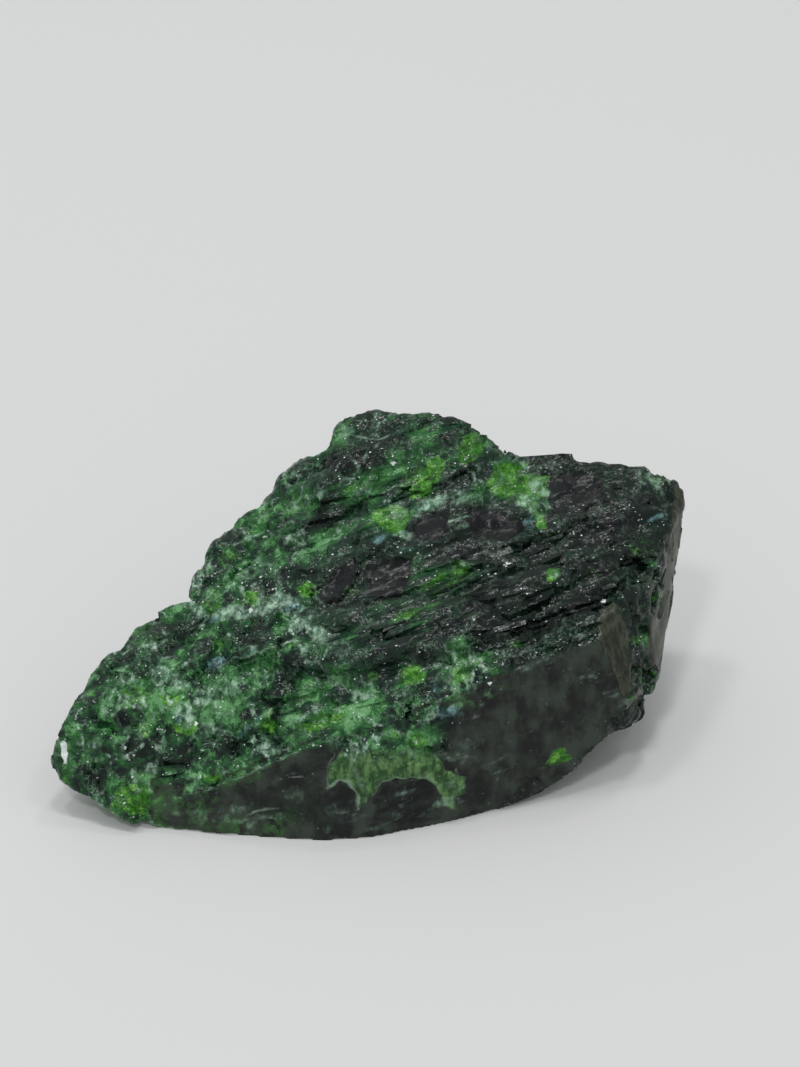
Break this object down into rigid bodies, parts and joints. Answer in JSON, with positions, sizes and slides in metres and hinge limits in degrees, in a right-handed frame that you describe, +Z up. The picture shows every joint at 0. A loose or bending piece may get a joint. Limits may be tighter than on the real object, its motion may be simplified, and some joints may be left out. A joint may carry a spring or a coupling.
{
  "type": "chrome diopside crystal specimen",
  "caption": "Rough green crystal, broken along its cleavages into ledges and splinters, lying on a flat base.",
  "frame": {"origin": "a point on the flat base, below the middle of the crystal", "axes": "+X along the crystal's length, from its thin tip to its thick end; +Y from its smooth front face to its rear; +Z up"},
  "size_m": [0.0609, 0.0349, 0.0261],
  "materials": {
    "green_diopside": "vitreous on its cleavage faces, sugary where it is broken"
  },
  "bodies": {
    "root": {"diopside_crystal": "green_diopside"}
  },
  "joints": []
}
